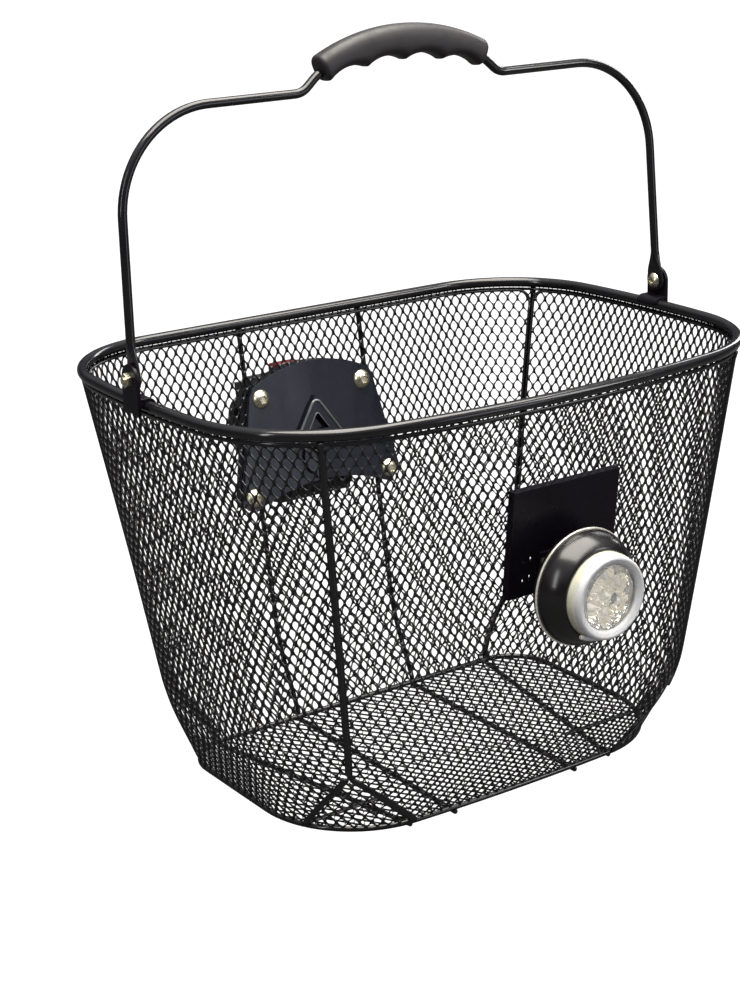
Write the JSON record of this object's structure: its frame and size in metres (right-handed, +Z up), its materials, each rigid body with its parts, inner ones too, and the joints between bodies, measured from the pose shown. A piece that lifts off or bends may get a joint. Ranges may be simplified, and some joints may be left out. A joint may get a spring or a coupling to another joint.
{
  "type": "bicycle handlebar basket",
  "caption": "Expanded-metal bicycle handlebar basket with a swinging carry handle, a quick-release bar bracket and a tilting front lamp.",
  "frame": {"origin": "middle of the basket on the surface it stands on, under the overall box's centre", "axes": "+Z up, -Y towards the lamp side (front), +Y towards the handlebar, +X the rider's left"},
  "size_m": [0.3752, 0.3422, 0.4218],
  "materials": {
    "painted_steel": "gloss black enamel over steel wire and tube",
    "mesh_steel": "gloss black enamel over expanded steel mesh",
    "tab_steel": "satin black enamel over folded sheet steel",
    "zinc_steel": "pale zinc-plated steel fasteners",
    "grip_plastic": "satin dark grey moulded plastic",
    "gloss_plastic": "gloss blue-black moulded plastic",
    "housing_plastic": "fine-grained black moulded plastic",
    "button_plastic": "red moulded plastic",
    "rubber": "soft black rubber",
    "spring_steel": "bright spring wire",
    "ring_metal": "polished pale metal trim",
    "bezel_plastic": "milky translucent plastic",
    "lens_clear": "clear moulded lens",
    "reflector_chrome": "vacuum-plated reflector",
    "led_clear": "water-clear LED epoxy",
    "board_green": "solder-masked circuit board",
    "cell_steel": "nickel-plated coin cell"
  },
  "bodies": {
    "basket": {"rim_tube": "painted_steel", "base_ring": "painted_steel", "front_mesh": "mesh_steel", "back_mesh": "mesh_steel", "left_mesh": "mesh_steel", "right_mesh": "mesh_steel", "front_gusset_left": "mesh_steel", "front_gusset_right": "mesh_steel", "floor_mesh": "mesh_steel", "back_wire_left": "painted_steel", "back_wire_right": "painted_steel", "rear_corner_wire_left": "painted_steel", "front_corner_wire_left": "painted_steel", "rear_corner_wire_right": "painted_steel", "front_corner_wire_right": "painted_steel", "handle_tab_left": "tab_steel", "handle_tab_right": "tab_steel", "handle_pivot_bolts": "zinc_steel", "handle_pivot_nuts": "zinc_steel", "adapter_plate": "gloss_plastic", "hook_plate": "gloss_plastic", "plate_bolts": "zinc_steel", "plate_washers": "zinc_steel", "plate_nuts": "zinc_steel", "bracket_housing": "housing_plastic", "clamp_caps": "housing_plastic", "bar_shims": "rubber", "clamp_bolts": "zinc_steel", "clamp_inserts": "zinc_steel", "button_spring": "spring_steel", "light_plate": "tab_steel", "lamp_bracket": "tab_steel", "lamp_bracket_screws": "zinc_steel", "lamp_pivot_bolt": "zinc_steel", "lamp_pivot_nut": "zinc_steel"},
    "handle": {"handle_wire": "painted_steel", "handle_grip": "grip_plastic"},
    "lamp": {"lamp_rear_shell": "gloss_plastic", "lamp_edge_ring": "ring_metal", "lamp_bell": "gloss_plastic", "lamp_bezel": "bezel_plastic", "lamp_lens": "lens_clear", "lamp_reflector": "reflector_chrome", "lamp_leds": "led_clear", "lamp_circuit_board": "board_green", "lamp_coin_cells": "cell_steel", "lamp_battery_contact": "spring_steel"},
    "lamp_switch": {"lamp_switch_button": "rubber"},
    "release_button": {"release_button": "button_plastic"},
    "latch": {"latch": "housing_plastic"}
  },
  "joints": [
    {"name": "handle_swing", "type": "hinge", "parent": "basket", "child": "handle", "pos_m": [0, -0.0042, 0.2565], "axis": [1, 0, 0], "range_deg": [-84, 91]},
    {"name": "lamp_tilt", "type": "hinge", "parent": "basket", "child": "lamp", "pos_m": [0, -0.1372, 0.14145], "axis": [1, 0, 0], "range_deg": [-12, 20]},
    {"name": "lamp_switch_press", "type": "slide", "parent": "lamp", "child": "lamp_switch", "axis": [0, -1, 0], "range_m": [0, 0.001], "stiffness_N_per_m": 800},
    {"name": "release_press", "type": "slide", "parent": "basket", "child": "release_button", "axis": [0, -0.1599, -0.9871], "range_m": [0, 0.003], "stiffness_N_per_m": 1000, "deforming": ["button_spring"]},
    {"name": "latch_slide", "type": "slide", "parent": "basket", "child": "latch", "axis": [0, 0.9871, -0.1599], "range_m": [0, 0.003]}
  ],
  "couplings": [
    {"joint": "latch_slide", "follows": "release_press", "ratio": 1}
  ]
}
